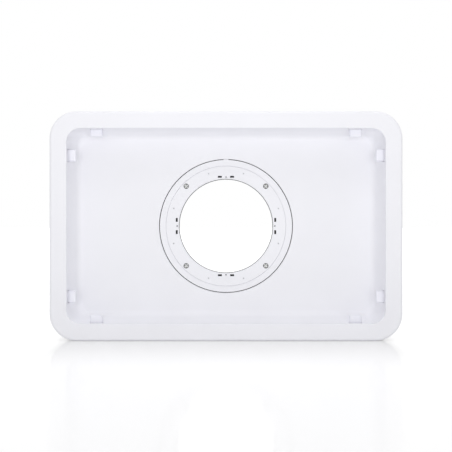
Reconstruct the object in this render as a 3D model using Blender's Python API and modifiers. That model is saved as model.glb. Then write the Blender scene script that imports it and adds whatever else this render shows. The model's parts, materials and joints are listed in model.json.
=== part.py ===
# Mounting housing of a ceiling access point: a white tray with a deep recess, eight spring clips in
# its walls, and a bayonet ring that swivels in its floor.
#
# Metres. Every piece is drawn with the housing lying on its back: x along the long side, y along the
# short side and z from the ceiling plane to the front. An empty then stands the housing upright, with
# its front towards -Y. The origin is the centre of the round opening, on the ceiling plane.

import math

import bmesh
import bpy
from mathutils import Matrix, Vector

# Fits
SEAT_GAP = 0.0003
RUN_GAP = 0.0004
JOIN_OVERLAP = 0.0005
CUT_PAST = 0.001

# Bezel frame: flat rim, rounded outer edge and a skirt back to the ceiling
WIDTH = 0.352
HEIGHT = 0.229
DEPTH = 0.036
CORNER_RADIUS = 0.027
RIM_WIDTH = 0.0172
RIM_THICKNESS = 0.0025
SKIRT_WALL = 0.0025
EDGE_RADIUS = 0.003
LIP_RADIUS = 0.0006

# Recess pan: walls that lean in to the floor, and the collar round its opening
OPEN_RADIUS = 0.0143
PAN_WALL = 0.0022
FLOOR_THICKNESS = 0.0025
WALL_SET_BACK = 0.0005
WALL_DRAFT = 0.0055
BACK_RADIUS = 0.003
COLLAR_WIDTH = 0.005
LEDGE_WIDTH = 0.0037
LEDGE_THICKNESS = 0.002
RIB_THICKNESS = 0.0016
RIB_HEIGHT = 0.004
RIB_CLEARANCE = 0.0075
RIB_ANGLES = (0, 32, 90, 148, 180, 212, 270, 328)

# Screws that hold the pan to the bezel, put in from behind
BEZEL_SCREW_FROM_MIDDLE = 0.050
EAR_TO_SKIRT = 0.0009
EAR_THICKNESS = 0.0022
BOSS_RADIUS = 0.0035
BOSS_LENGTH = 0.005
BEZEL_SCREW_RADIUS = 0.0015
BEZEL_SCREW_LENGTH = 0.007
BEZEL_HEAD_RADIUS = 0.0028
BEZEL_HEAD_HEIGHT = 0.002
BEZEL_SOCKET_FLATS = 0.0022
BEZEL_SOCKET_DEPTH = 0.001

# Cover clips: a nose through a window in the wall, on an arm with a bead in a cradle behind it
CLIP_FROM_CORNER_X = 0.0283
CLIP_FROM_CORNER_Y = 0.0261
CLIP_WIDTH = 0.012
CLIP_SIDE_GAP = 0.0005
NOSE_BEHIND_RIM = 0.008
NOSE_REACH = 0.0072
NOSE_THICKNESS = 0.003
NOSE_LEAD = 0.0009
ARM_THICKNESS = 0.002
ARM_LENGTH = 0.018
BEAD_RADIUS = 0.002
WINDOW_OVER_NOSE = 0.0014
WINDOW_UNDER_NOSE = 0.0006
CRADLE_WALL = 0.0012
CRADLE_LINING = 0.0005
CRADLE_MOUTH = 0.0012
CRADLE_PAST_CLIP = 0.001

# Swivel disc, flush with the floor
DISC_RADIUS = 0.0687
DISC_FLANGE = 0.0017
SEAM = 0.0008
WEB_BORE_STEP = 0.0019
KEY_WIDTH = 0.005
KEY_GAP = 0.0003
KEY_THICKNESS = 0.0016

# Bayonet ring on the disc
BAYONET_INSET = 0.0065
BAYONET_WIDTH = 0.01325
BAYONET_RISE = 0.0008
BAYONET_UNDER_HEAD = 0.00055
BAYONET_CHAMFER = 0.0004
SLOT_LENGTH = 0.0041
SLOT_WIDTH = 0.002
SLOT_FROM_HOLE = 0.00215
SLOT_SPREAD = 0.0127

# Spring leaves, their rivets and the pips that they press forward
POCKET_FROM_HOLE = 0.0006
POCKET_FROM_RIM = 0.0022
POCKET_HALF_ANGLE = 23
LEAF_THICKNESS = 0.0004
LEAF_WIDTH = 0.0026
LEAF_PLATE_LENGTH = 0.0184
LEAF_BEHIND_SKIN = 0.0001
RIVET_FROM_RIM = 0.0049
RIVET_ANGLE = 18.5
RIVET_RADIUS = 0.0007
RIVET_HEAD_RADIUS = 0.0014
RIVET_HEAD_HEIGHT = 0.0004
RIVET_GAP = 0.0002
EYE_WALL = 0.0012
PIP_FROM_HOLE = 0.0017
PIP_RADIUS = 0.0008
PIP_STANDOUT = 0.0005

# Clamp plate, glide washer, ring screws and nuts
WASHER_THICKNESS = 0.0005
CLAMP_LAP = 0.005
CLAMP_LIP = 0.0002
CLAMP_THICKNESS = 0.0016
CEILING_SLOT_FROM_BORE = 0.007
CEILING_SLOT_WIDTH = 0.0045
CEILING_SLOT_HALF_ANGLE = 14
SCREW_FROM_RIM_WALL = 0.00075
SCREW_RADIUS = 0.0015
SCREW_HEAD_RADIUS = 0.00275
SCREW_HEAD_EDGE = 0.0003
SCREW_HEAD_BELOW = 0.0001
SCREW_SOCKET_FLATS = 0.002
SCREW_SOCKET_DEPTH = 0.0009
SCREW_TIP_CHAMFER = 0.0004
SCREW_ANGLES = (135, 45, -45, -135)
NUT_FLATS = 0.0055
NUT_THICKNESS = 0.0024
NUT_OVER_CEILING = 0.0006

# Facets of round shapes
CORNER_STEPS = 8
LARGE_STEPS = 48
SMALL_STEPS = 16
PIN_STEPS = 10
LIP_STEPS = 2
EDGE_STEPS = 4
BACK_STEPS = 3
POCKET_STEPS = 12
SLOT_STEPS = 6
HEXAGON = 6
SHARP_ANGLE = math.radians(35)
WELD = 0.000001
NEARLY_NONE = 0.001

# Levels over the ceiling plane, stacked from the nuts to the floor of the recess
NUT_BACK = NUT_OVER_CEILING
NUT_FRONT = NUT_BACK + NUT_THICKNESS
CLAMP_BACK = NUT_FRONT + SEAT_GAP
CLAMP_FRONT = CLAMP_BACK + CLAMP_THICKNESS
LEDGE_BACK = CLAMP_FRONT + SEAT_GAP
LEDGE_FRONT = LEDGE_BACK + LEDGE_THICKNESS
WASHER_BACK = LEDGE_FRONT + SEAT_GAP
WASHER_FRONT = WASHER_BACK + WASHER_THICKNESS
FLANGE_BACK = WASHER_FRONT + SEAT_GAP
FLOOR_FRONT = FLANGE_BACK + DISC_FLANGE
FLOOR_BACK = FLOOR_FRONT - FLOOR_THICKNESS
RIM_BACK = DEPTH - RIM_THICKNESS
PAN_TOP = RIM_BACK - SEAT_GAP
SCREW_HEAD_DEPTH = SCREW_HEAD_BELOW + SCREW_HEAD_EDGE + SCREW_HEAD_RADIUS - SCREW_RADIUS
BAYONET_THICKNESS = SCREW_HEAD_DEPTH + BAYONET_UNDER_HEAD
POCKET_DEPTH = LEAF_BEHIND_SKIN + LEAF_THICKNESS + RIVET_GAP + RIVET_HEAD_HEIGHT
RING_FRONT = FLOOR_FRONT + BAYONET_RISE
RING_BACK = RING_FRONT - BAYONET_THICKNESS
WEB_FRONT = RING_BACK - SEAT_GAP
WEB_BACK = CLAMP_FRONT + SEAT_GAP
SKIN_BACK = RING_BACK + POCKET_DEPTH
LEAF_FRONT = SKIN_BACK - LEAF_BEHIND_SKIN
LEAF_BACK = LEAF_FRONT - LEAF_THICKNESS
EAR_FRONT = RIM_BACK - BOSS_LENGTH - SEAT_GAP
EAR_BACK = EAR_FRONT - EAR_THICKNESS
NOSE_FRONT = DEPTH - NOSE_BEHIND_RIM
NOSE_BACK = NOSE_FRONT - NOSE_THICKNESS
BEAD_LEVEL = NOSE_FRONT - ARM_LENGTH

# Reaches from the centre
OPEN_X = WIDTH / 2 - RIM_WIDTH
OPEN_Y = HEIGHT / 2 - RIM_WIDTH
RADIUS_PER_OFFSET = (CORNER_RADIUS - OPEN_RADIUS) / RIM_WIDTH
SEAT_RADIUS = DISC_RADIUS + SEAM
KEY_DEPTH = SEAM - KEY_GAP
LEDGE_RADIUS = SEAT_RADIUS - LEDGE_WIDTH
COLLAR_RADIUS = SEAT_RADIUS + COLLAR_WIDTH
HUB_RADIUS = LEDGE_RADIUS - RUN_GAP
CLAMP_RADIUS = LEDGE_RADIUS + CLAMP_LAP
BAYONET_RADIUS = DISC_RADIUS - BAYONET_INSET
BAYONET_HOLE = BAYONET_RADIUS - BAYONET_WIDTH
WEB_BORE = BAYONET_HOLE + WEB_BORE_STEP
CLAMP_BORE = BAYONET_HOLE - CLAMP_LIP
SLOT_RADIUS = BAYONET_HOLE + SLOT_FROM_HOLE
PIP_CIRCLE = BAYONET_HOLE + PIP_FROM_HOLE
POCKET_INNER = BAYONET_HOLE + POCKET_FROM_HOLE
POCKET_OUTER = BAYONET_RADIUS - POCKET_FROM_RIM
RIVET_CIRCLE = BAYONET_RADIUS - RIVET_FROM_RIM
SCREW_CIRCLE = BAYONET_RADIUS - SCREW_FROM_RIM_WALL - SEAT_GAP - SCREW_HEAD_RADIUS
CEILING_SLOT_CIRCLE = WEB_BORE + CEILING_SLOT_FROM_BORE
BEAD_BEHIND = PAN_WALL + CRADLE_LINING + SEAT_GAP + BEAD_RADIUS
BOSS_BEHIND = (PAN_WALL + RIM_WIDTH - SKIRT_WALL) / 2
EAR_RADIUS = (RIM_WIDTH - SKIRT_WALL - PAN_WALL) / 2 - EAR_TO_SKIRT

# Walls of the recess, named by the way into it
TOP, BOTTOM, LEFT, RIGHT = (0, -1), (0, 1), (1, 0), (-1, 0)
CLIP_X = OPEN_X - CLIP_FROM_CORNER_X
CLIP_Y = OPEN_Y - CLIP_FROM_CORNER_Y
CLIP_PLACES = (
    (TOP, -CLIP_X),
    (TOP, CLIP_X),
    (RIGHT, CLIP_Y),
    (RIGHT, -CLIP_Y),
    (BOTTOM, CLIP_X),
    (BOTTOM, -CLIP_X),
    (LEFT, -CLIP_Y),
    (LEFT, CLIP_Y),
)
BEZEL_SCREW_PLACES = (
    (TOP, -BEZEL_SCREW_FROM_MIDDLE),
    (TOP, BEZEL_SCREW_FROM_MIDDLE),
    (RIGHT, 0),
    (BOTTOM, BEZEL_SCREW_FROM_MIDDLE),
    (BOTTOM, -BEZEL_SCREW_FROM_MIDDLE),
    (LEFT, 0),
)


# Scene and objects


def clear_scene():
    for obj in list(bpy.data.objects):
        bpy.data.objects.remove(obj, do_unlink=True)


def collection(name):
    made = bpy.data.collections.new(name)
    bpy.context.scene.collection.children.link(made)
    return made


def finish(name, colour, roughness, metallic=0.0):
    made = bpy.data.materials.new(name)
    made.use_nodes = True
    shader = made.node_tree.nodes["Principled BSDF"]
    shader.inputs["Base Color"].default_value = (*colour, 1)
    shader.inputs["Roughness"].default_value = roughness
    shader.inputs["Metallic"].default_value = metallic
    made.diffuse_color = (*colour, 1)
    return made


def axis_empty(name, parent, matrix):
    empty = bpy.data.objects.new(name, None)
    parts.objects.link(empty)
    empty.parent = parent
    empty.matrix_local = matrix
    return empty


def keep_part(obj, parent, material, matrix):
    if not obj.data.materials:
        obj.data.materials.append(material)
    parts.objects.link(obj)
    obj.parent = parent
    obj.matrix_local = matrix
    return obj


def keep_helper(obj, group, matrix, parent):
    group.objects.link(obj)
    obj.parent = parent
    obj.matrix_local = matrix
    obj.hide_render = True
    obj.display_type = "WIRE"
    return obj


def raised(height):
    return Matrix.Translation((0, 0, height))


# Shapes


def arc(centre, radius, start, end, steps):
    angles = [math.radians(start + (end - start) * k / steps) for k in range(steps + 1)]
    return [(centre[0] + radius * math.cos(a), centre[1] + radius * math.sin(a)) for a in angles]


def circle(radius, steps, centre=(0, 0)):
    return arc(centre, radius, 0, 360, steps)[:-1]


def section(offset, height):
    """The recess opening's rounded rectangle, grown by the offset, at a height over the ceiling."""
    radius = OPEN_RADIUS + offset * RADIUS_PER_OFFSET
    x, y = OPEN_X + offset - radius, OPEN_Y + offset - radius
    corners = (((x, y), 0), ((-x, y), 90), ((-x, -y), 180), ((x, -y), 270))
    outline = []
    for centre, start in corners:
        outline += arc(centre, radius, start, start + 90, CORNER_STEPS)
    return [(px, py, height) for px, py in outline]


def mesh_object(name, bm):
    bmesh.ops.recalc_face_normals(bm, faces=bm.faces)
    mesh = bpy.data.meshes.new(name)
    bm.to_mesh(mesh)
    bm.free()
    mesh.shade_smooth()
    mesh.set_sharp_from_angle(angle=SHARP_ANGLE)
    return bpy.data.objects.new(name, mesh)


def lofted(name, profile, ring):
    """Rounded rectangles through the profile's (offset, height) points, closed as a ring or by caps."""
    bm = bmesh.new()
    loops = []
    for offset, height in profile:
        loops.append([bm.verts.new(point) for point in section(offset, height)])
    if ring:
        loops.append(loops[0])
    else:
        bm.faces.new(loops[0])
        bm.faces.new(loops[-1])
    for near, far in zip(loops, loops[1:]):
        for k in range(len(near)):
            bm.faces.new((near[k - 1], near[k], far[k], far[k - 1]))
    return mesh_object(name, bm)


def box(name, size):
    bm = bmesh.new()
    bmesh.ops.create_cube(bm, size=1, matrix=Matrix.Diagonal((*size, 1)))
    return mesh_object(name, bm)


def cylinder(name, radius, bottom, top, steps):
    bm = bmesh.new()
    middle = raised((bottom + top) / 2)
    bmesh.ops.create_cone(
        bm,
        cap_ends=True,
        segments=steps,
        radius1=radius,
        radius2=radius,
        depth=top - bottom,
        matrix=middle,
    )
    return mesh_object(name, bm)


def turned(name, profile, steps, closed):
    """A profile of (radius, height) points, run down its outer side, turned round z."""
    mesh = bpy.data.meshes.new(name)
    ends = [(k, k + 1) for k in range(len(profile) - 1)]
    if closed:
        ends.append((len(profile) - 1, 0))
    mesh.from_pydata([(radius, 0, height) for radius, height in profile], ends, [])
    obj = bpy.data.objects.new(name, mesh)
    screw = obj.modifiers.new("turn", "SCREW")
    screw.axis = "Z"
    screw.angle = 2 * math.pi
    screw.steps = steps
    screw.render_steps = steps
    screw.use_merge_vertices = True
    screw.merge_threshold = WELD
    return obj


def plate(name, outlines, thickness):
    """A flat plate: the first outline is its edge and the others are holes, centred on z = 0."""
    curve = bpy.data.curves.new(name, "CURVE")
    curve.dimensions = "2D"
    curve.fill_mode = "BOTH"
    curve.extrude = thickness / 2
    for outline in outlines:
        spline = curve.splines.new("POLY")
        spline.points.add(len(outline) - 1)
        for point, (x, y) in zip(spline.points, outline):
            point.co = (x, y, 0, 1)
        spline.use_cyclic_u = True
    return bpy.data.objects.new(name, curve)


def solid_mesh(obj):
    """The object's shape with its modifiers, as a plain mesh. The object itself is removed."""
    bpy.context.scene.collection.objects.link(obj)
    graph = bpy.context.evaluated_depsgraph_get()
    mesh = bpy.data.meshes.new_from_object(obj.evaluated_get(graph))
    bm = bmesh.new()
    bm.from_mesh(mesh)
    bmesh.ops.remove_doubles(bm, verts=bm.verts, dist=WELD)
    bmesh.ops.recalc_face_normals(bm, faces=bm.faces)
    bm.to_mesh(mesh)
    bm.free()
    mesh.shade_smooth()
    mesh.set_sharp_from_angle(angle=SHARP_ANGLE)
    bpy.data.objects.remove(obj, do_unlink=True)
    return mesh


def boolean(obj, operation, group):
    modifier = obj.modifiers.new(group.name, "BOOLEAN")
    modifier.operation = operation
    modifier.operand_type = "COLLECTION"
    modifier.collection = group
    modifier.solver = "EXACT"


# Places


def wall_place(inward, along, into, height):
    """A place on a recess wall, with x into the recess, y to the front and z along the wall."""
    x = Vector((*inward, 0))
    front = Vector((0, 0, 1))
    tangent = Vector((abs(inward[1]), abs(inward[0]), 0))
    reach = OPEN_X if inward[0] else OPEN_Y
    origin = x * (into - reach) + tangent * along + front * height
    turn = Matrix((x, front, x.cross(front))).transposed()
    return Matrix.Translation(origin) @ turn.to_4x4()


def boss_place(wall, along, height):
    """A place on a bezel screw's axis, with z to the front."""
    return wall_place(wall, along, -BOSS_BEHIND, height) @ Matrix.Rotation(-math.pi / 2, 4, "X")


def quarter_place(quarter, tangential, radial, height):
    """A place on the ring: quarters 0 to 3 run clockwise from the top, with y outwards."""
    turn = Matrix.Rotation(-math.radians(90 * quarter), 4, "Z")
    return turn @ Matrix.Translation((tangential, radial, height))


def polar_place(angle, radius, height):
    turn = Matrix.Rotation(math.radians(angle), 4, "Z")
    return turn @ Matrix.Translation((radius, 0, height))


# Housing


def bezel_frame():
    lip = arc((LIP_RADIUS, DEPTH - LIP_RADIUS), LIP_RADIUS, 180, 90, LIP_STEPS)
    edge = arc((RIM_WIDTH - EDGE_RADIUS, DEPTH - EDGE_RADIUS), EDGE_RADIUS, 90, 0, EDGE_STEPS)
    skirt_inside = RIM_WIDTH - SKIRT_WALL
    inside = [(RIM_WIDTH, 0), (skirt_inside, 0), (skirt_inside, RIM_BACK), (0, RIM_BACK)]
    frame = lofted("bezel_frame", lip + edge + inside, ring=True)
    keep_part(frame, housing, white_shell, raised(0))
    joins, cuts = collection("bezel_joins"), collection("bezel_cuts")
    boss_end = RIM_BACK - BOSS_LENGTH
    reach = EAR_BACK + BEZEL_SCREW_LENGTH + SEAT_GAP
    pilot_radius = BEZEL_SCREW_RADIUS + SEAT_GAP
    for wall, along in BEZEL_SCREW_PLACES:
        place = boss_place(wall, along, 0)
        boss = cylinder("boss", BOSS_RADIUS, boss_end, RIM_BACK + JOIN_OVERLAP, SMALL_STEPS)
        keep_helper(boss, joins, place, housing)
        pilot = cylinder("pilot", pilot_radius, boss_end - CUT_PAST, reach, SMALL_STEPS)
        keep_helper(pilot, cuts, place, housing)
    boolean(frame, "UNION", joins)
    boolean(frame, "DIFFERENCE", cuts)


def bezel_screws():
    head_top = EAR_BACK - SEAT_GAP
    head_back = head_top - BEZEL_HEAD_HEIGHT
    tip = EAR_BACK + BEZEL_SCREW_LENGTH
    profile = [
        (0, tip),
        (BEZEL_SCREW_RADIUS - SCREW_TIP_CHAMFER, tip),
        (BEZEL_SCREW_RADIUS, tip - SCREW_TIP_CHAMFER),
        (BEZEL_SCREW_RADIUS, head_top),
        (BEZEL_HEAD_RADIUS, head_top),
        (BEZEL_HEAD_RADIUS, head_back),
        (0, head_back),
    ]
    cuts = collection("bezel_screw_cuts")
    socket_radius = BEZEL_SOCKET_FLATS / math.sqrt(3)
    socket_end = head_back + BEZEL_SOCKET_DEPTH
    socket = cylinder("bezel_socket", socket_radius, head_back - CUT_PAST, socket_end, HEXAGON)
    keep_helper(socket, cuts, raised(0), None)
    pattern = turned("bezel_screw", profile, SMALL_STEPS, closed=False)
    boolean(pattern, "DIFFERENCE", cuts)
    mesh = solid_mesh(pattern)
    for number, (wall, along) in enumerate(BEZEL_SCREW_PLACES, 1):
        screw = bpy.data.objects.new(f"bezel_screw_{number}", mesh)
        keep_part(screw, housing, zinc_steel, boss_place(wall, along, 0))


def wall_inside(height):
    """The offset of a recess wall's inner face: back from the lip at the top, leaning in to the floor."""
    return WALL_SET_BACK - (WALL_SET_BACK + WALL_DRAFT) * (PAN_TOP - height) / (PAN_TOP - FLOOR_FRONT)


def wall_outside(height):
    return wall_inside(height) + PAN_WALL


def cradle_outline():
    bore = BEAD_RADIUS + SEAT_GAP
    half_mouth = math.degrees(math.asin(CRADLE_MOUTH / bore))
    wall_side = BEAD_BEHIND - wall_outside(BEAD_LEVEL) + JOIN_OVERLAP
    low = -bore - CRADLE_WALL
    seat = arc((0, 0), bore, 180 - half_mouth, 360 + half_mouth, SMALL_STEPS)
    corners = [(wall_side, CRADLE_MOUTH), (wall_side, low), (low, low), (low, CRADLE_MOUTH)]
    return seat + corners


def ear_outline():
    """An ear that reaches from the pan's wall to half round the screw, in the wall's x and -z."""
    wall_side = BOSS_BEHIND - wall_outside(EAR_BACK) + JOIN_OVERLAP
    end = arc((0, 0), EAR_RADIUS, 90, 270, SMALL_STEPS // 2)
    return end + [(wall_side, -EAR_RADIUS), (wall_side, EAR_RADIUS)]


def pan_joins():
    group = collection("pan_joins")
    collar = cylinder("collar", COLLAR_RADIUS, LEDGE_BACK, FLOOR_BACK + JOIN_OVERLAP, LARGE_STEPS)
    keep_helper(collar, group, raised(0), housing)
    cradle_length = CLIP_WIDTH + 2 * CRADLE_PAST_CLIP
    cradle_mesh = solid_mesh(plate("cradle", [cradle_outline()], cradle_length))
    for wall, along in CLIP_PLACES:
        cradle = bpy.data.objects.new("cradle", cradle_mesh)
        place = wall_place(wall, along, -BEAD_BEHIND, BEAD_LEVEL)
        keep_helper(cradle, group, place, housing)
    ear_mesh = solid_mesh(plate("ear", [ear_outline()], EAR_THICKNESS))
    middle = (EAR_FRONT + EAR_BACK) / 2
    for wall, along in BEZEL_SCREW_PLACES:
        ear = bpy.data.objects.new("ear", ear_mesh)
        keep_helper(ear, group, boss_place(wall, along, middle), housing)
    for angle in RIB_ANGLES:
        along = Vector((math.cos(math.radians(angle)), math.sin(math.radians(angle))))
        to_side = (OPEN_X - RIB_CLEARANCE) / max(abs(along.x), NEARLY_NONE)
        to_end = (OPEN_Y - RIB_CLEARANCE) / max(abs(along.y), NEARLY_NONE)
        start = COLLAR_RADIUS - JOIN_OVERLAP
        end = min(to_side, to_end)
        rib = box("rib", (end - start, RIB_THICKNESS, RIB_HEIGHT + JOIN_OVERLAP))
        level = FLOOR_BACK + (JOIN_OVERLAP - RIB_HEIGHT) / 2
        keep_helper(rib, group, polar_place(angle, (start + end) / 2, level), housing)
    return group


def pan_cuts():
    group = collection("pan_cuts")
    bore = cylinder("bore", LEDGE_RADIUS, LEDGE_BACK - CUT_PAST, LEDGE_FRONT + CUT_PAST, LARGE_STEPS)
    keep_helper(bore, group, raised(0), housing)
    seat = cylinder("seat", SEAT_RADIUS, LEDGE_FRONT, FLOOR_FRONT + CUT_PAST, LARGE_STEPS)
    keep_helper(seat, group, raised(0), housing)
    low, high = NOSE_BACK - WINDOW_UNDER_NOSE, NOSE_FRONT + WINDOW_OVER_NOSE
    near, far = wall_inside(low) - CUT_PAST, wall_outside(high) + CUT_PAST
    window_size = (far - near, high - low, CLIP_WIDTH + 2 * CLIP_SIDE_GAP)
    for wall, along in CLIP_PLACES:
        window = box("window", window_size)
        place = wall_place(wall, along, -(near + far) / 2, (low + high) / 2)
        keep_helper(window, group, place, housing)
    radius = BEZEL_SCREW_RADIUS + SEAT_GAP
    for wall, along in BEZEL_SCREW_PLACES:
        hole = cylinder("ear_hole", radius, EAR_BACK - CUT_PAST, EAR_FRONT + CUT_PAST, SMALL_STEPS)
        keep_helper(hole, group, boss_place(wall, along, 0), housing)
    return group


def recess_pan():
    round_top = FLOOR_BACK + BACK_RADIUS
    back_centre = (wall_outside(round_top) - BACK_RADIUS, round_top)
    back = arc(back_centre, BACK_RADIUS, 270, 360, BACK_STEPS)
    top = [(wall_outside(PAN_TOP), PAN_TOP), (wall_inside(PAN_TOP), PAN_TOP)]
    floor = [(wall_inside(FLOOR_FRONT), FLOOR_FRONT)]
    pan = lofted("recess_pan", back + top + floor, ring=False)
    keep_part(pan, housing, white_shell, raised(0))
    boolean(pan, "UNION", pan_joins())
    boolean(pan, "DIFFERENCE", pan_cuts())


def clip_outline():
    """Bead, arm and nose from the side, about the bead's centre, with x into the recess."""
    half_arm = ARM_THICKNESS / 2
    neck = math.degrees(math.asin(half_arm / BEAD_RADIUS))
    tip = BEAD_BEHIND + NOSE_REACH
    bead = arc((0, 0), BEAD_RADIUS, 90 + neck, 450 - neck, SMALL_STEPS)
    nose = [
        (half_arm, ARM_LENGTH - NOSE_THICKNESS),
        (tip - NOSE_LEAD, ARM_LENGTH - NOSE_THICKNESS),
        (tip, ARM_LENGTH - NOSE_THICKNESS + NOSE_LEAD),
        (tip, ARM_LENGTH - NOSE_LEAD),
        (tip - NOSE_LEAD, ARM_LENGTH),
        (-half_arm + NOSE_LEAD, ARM_LENGTH),
        (-half_arm, ARM_LENGTH - NOSE_LEAD),
    ]
    return bead + nose


def cover_clips():
    for number, (wall, along) in enumerate(CLIP_PLACES, 1):
        clip = plate(f"cover_clip_{number}", [clip_outline()], CLIP_WIDTH)
        place = wall_place(wall, along, -BEAD_BEHIND, BEAD_LEVEL)
        keep_part(clip, housing, white_acetal, place)


# Ring that turns in the floor


def swivel_disc():
    inside = BAYONET_RADIUS + SEAT_GAP
    profile = [
        (WEB_BORE, WEB_FRONT),
        (inside, WEB_FRONT),
        (inside, FLOOR_FRONT),
        (DISC_RADIUS, FLOOR_FRONT),
        (DISC_RADIUS, FLANGE_BACK),
        (HUB_RADIUS, FLANGE_BACK),
        (HUB_RADIUS, WEB_BACK),
        (WEB_BORE, WEB_BACK),
    ]
    disc = turned("swivel_disc", profile, LARGE_STEPS, closed=True)
    keep_part(disc, swivel, white_shell, raised(0))
    joins, cuts = collection("disc_joins"), collection("disc_cuts")
    key = box("index_key", (KEY_WIDTH, 2 * KEY_DEPTH + JOIN_OVERLAP, KEY_THICKNESS))
    level = (FLOOR_FRONT + FLANGE_BACK) / 2
    keep_helper(key, joins, quarter_place(0, 0, DISC_RADIUS - JOIN_OVERLAP / 2, level), swivel)
    radius = SCREW_RADIUS + SEAT_GAP
    for angle in SCREW_ANGLES:
        hole = cylinder("web_hole", radius, WEB_BACK - CUT_PAST, WEB_FRONT + CUT_PAST, SMALL_STEPS)
        keep_helper(hole, cuts, polar_place(angle, SCREW_CIRCLE, 0), swivel)
    boolean(disc, "UNION", joins)
    boolean(disc, "DIFFERENCE", cuts)


def head_profile(grow):
    """The countersunk head and the shank below it, grown by a gap on every side for its hole."""
    radius = SCREW_HEAD_RADIUS + grow
    shank = SCREW_RADIUS + grow
    top = RING_FRONT - SCREW_HEAD_BELOW
    edge = top - SCREW_HEAD_EDGE
    return radius, shank, top, edge, edge - (radius - shank)


def pocket_outline():
    start, end = 90 - POCKET_HALF_ANGLE, 90 + POCKET_HALF_ANGLE
    outer = arc((0, 0), POCKET_OUTER, start, end, POCKET_STEPS)
    inner = arc((0, 0), POCKET_INNER, end, start, POCKET_STEPS)
    return outer + inner


def rivet_places():
    """The rivets' centres beside each quarter's axis, as (quarter, tangential, radial)."""
    angle = math.radians(RIVET_ANGLE)
    x, y = RIVET_CIRCLE * math.sin(angle), RIVET_CIRCLE * math.cos(angle)
    return [(quarter, side * x, y) for quarter in range(4) for side in (-1, 1)]


def ring_cuts():
    group = collection("ring_cuts")
    low, high = RING_BACK - CUT_PAST, RING_FRONT + CUT_PAST
    radius, shank, _, edge, neck = head_profile(SEAT_GAP)
    countersink = [(0, high), (radius, high), (radius, edge), (shank, neck), (shank, low), (0, low)]
    pocket_mesh = solid_mesh(plate("pocket", [pocket_outline()], SKIN_BACK - low))
    sink_mesh = solid_mesh(turned("countersink", countersink, SMALL_STEPS, closed=False))
    for quarter in range(4):
        pocket = bpy.data.objects.new("pocket", pocket_mesh)
        keep_helper(pocket, group, quarter_place(quarter, 0, 0, (low + SKIN_BACK) / 2), swivel)
        for tangential in (-SLOT_SPREAD / 2, SLOT_SPREAD / 2):
            slot = box("slot", (SLOT_LENGTH, SLOT_WIDTH, high - low))
            place = quarter_place(quarter, tangential, SLOT_RADIUS, (low + high) / 2)
            keep_helper(slot, group, place, swivel)
        pip_hole = cylinder("pip_hole", PIP_RADIUS + RIVET_GAP, low, high, PIN_STEPS)
        keep_helper(pip_hole, group, quarter_place(quarter, 0, PIP_CIRCLE, 0), swivel)
    for angle in SCREW_ANGLES:
        sink = bpy.data.objects.new("countersink", sink_mesh)
        keep_helper(sink, group, polar_place(angle, SCREW_CIRCLE, 0), swivel)
    for quarter, tangential, radial in rivet_places():
        hole = cylinder("rivet_hole", RIVET_RADIUS + RIVET_GAP, low, high, PIN_STEPS)
        keep_helper(hole, group, quarter_place(quarter, tangential, radial, 0), swivel)
    return group


def bayonet_ring():
    profile = [
        (BAYONET_HOLE, RING_FRONT - BAYONET_CHAMFER),
        (BAYONET_HOLE + BAYONET_CHAMFER, RING_FRONT),
        (BAYONET_RADIUS - BAYONET_CHAMFER, RING_FRONT),
        (BAYONET_RADIUS, RING_FRONT - BAYONET_CHAMFER),
        (BAYONET_RADIUS, RING_BACK),
        (BAYONET_HOLE, RING_BACK),
    ]
    ring = turned("bayonet_ring", profile, LARGE_STEPS, closed=True)
    keep_part(ring, swivel, white_shell, raised(0))
    boolean(ring, "DIFFERENCE", ring_cuts())


def leaf_outlines():
    """A bowed leaf: a plate behind the slots, and an arm to an eye round each rivet."""
    _, eye_x, eye_y = rivet_places()[1]
    eye = RIVET_RADIUS + RIVET_GAP + EYE_WALL
    half = LEAF_PLATE_LENGTH / 2
    low, high = SLOT_RADIUS - LEAF_WIDTH / 2, SLOT_RADIUS + LEAF_WIDTH / 2
    lean = math.degrees(math.atan2(eye_y - SLOT_RADIUS, eye_x - half))
    right = arc((eye_x, eye_y), eye, lean - 90, lean + 90, SMALL_STEPS // 2)
    left = [(-x, y) for x, y in reversed(right)]
    edge = [(half, low)] + right + [(half, high), (-half, high)] + left + [(-half, low)]
    holes = [circle(RIVET_RADIUS + RIVET_GAP, PIN_STEPS, (side * eye_x, eye_y)) for side in (-1, 1)]
    return [edge] + holes


def detents():
    for quarter in range(4):
        leaf = plate(f"detent_leaf_{quarter + 1}", leaf_outlines(), LEAF_THICKNESS)
        level = (LEAF_FRONT + LEAF_BACK) / 2
        keep_part(leaf, swivel, spring_steel, quarter_place(quarter, 0, 0, level))
        foot = LEAF_FRONT + SEAT_GAP
        crown = RING_FRONT + PIP_STANDOUT
        profile = [
            (0, crown - foot),
            (PIP_RADIUS / 2, crown - foot),
            (PIP_RADIUS, crown - foot - PIP_STANDOUT / 2),
            (PIP_RADIUS, 0),
            (0, 0),
        ]
        pip = turned(f"detent_pip_{quarter + 1}", profile, PIN_STEPS, closed=False)
        keep_part(pip, swivel, grey_acetal, quarter_place(quarter, 0, PIP_CIRCLE, foot))
    head_top = LEAF_BACK - RIVET_GAP
    head_back = head_top - RIVET_HEAD_HEIGHT
    profile = [
        (0, RING_FRONT),
        (RIVET_RADIUS, RING_FRONT),
        (RIVET_RADIUS, head_top),
        (RIVET_HEAD_RADIUS, head_top),
        (RIVET_HEAD_RADIUS, head_back),
        (0, head_back),
    ]
    for number, (quarter, tangential, radial) in enumerate(rivet_places(), 1):
        rivet = turned(f"leaf_rivet_{number}", profile, PIN_STEPS, closed=False)
        keep_part(rivet, swivel, grey_acetal, quarter_place(quarter, tangential, radial, 0))


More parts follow.
